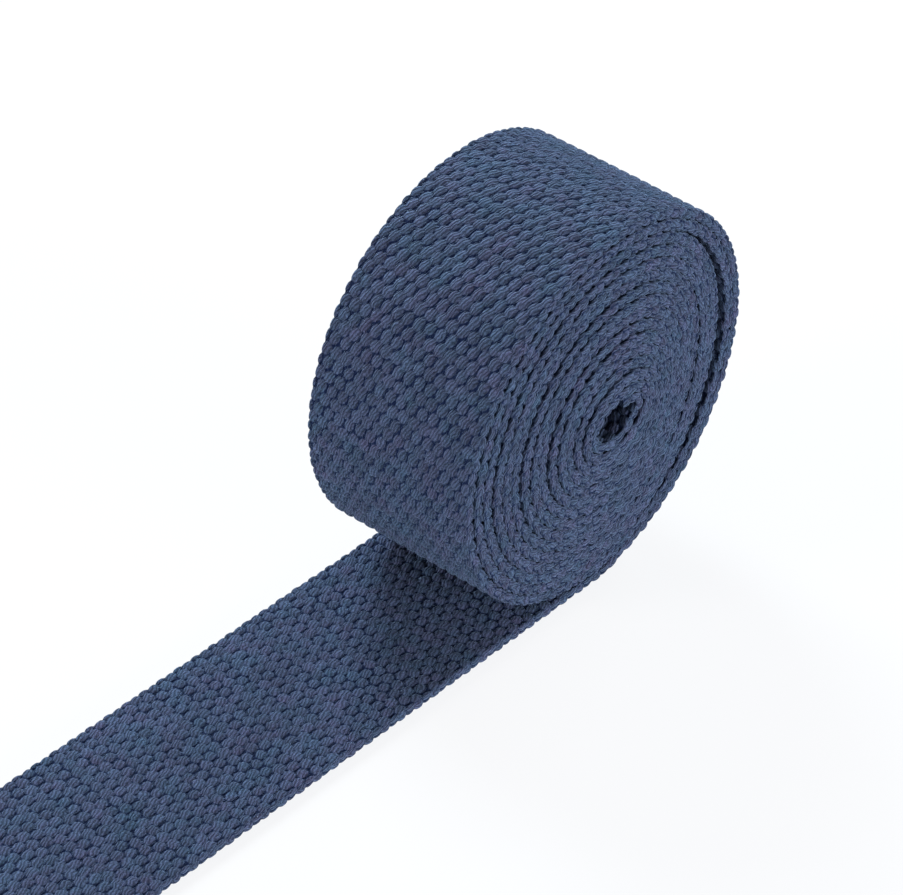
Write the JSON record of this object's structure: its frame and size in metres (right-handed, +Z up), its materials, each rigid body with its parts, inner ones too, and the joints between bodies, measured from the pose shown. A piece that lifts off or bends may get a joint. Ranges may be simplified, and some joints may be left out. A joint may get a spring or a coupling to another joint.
{
  "type": "roll of webbing tape",
  "caption": "Length of thick woven webbing tape wound into a flat-ended roll, with its loose end lying flat along the surface.",
  "frame": {"origin": "on the flat underside, below the roll's axis and midway between the two edges of the loose end", "axes": "+Z up, -X along the loose end, Y along the roll's axis with the end that stands out at the core towards -Y"},
  "size_m": [0.1956, 0.0418, 0.0832],
  "materials": {
    "woven_cotton": "navy cotton webbing in a coarse plain weave, matt, with slightly lighter knuckles and dark gaps between them"
  },
  "bodies": {
    "root": {"webbing_tape": "woven_cotton"}
  },
  "joints": []
}
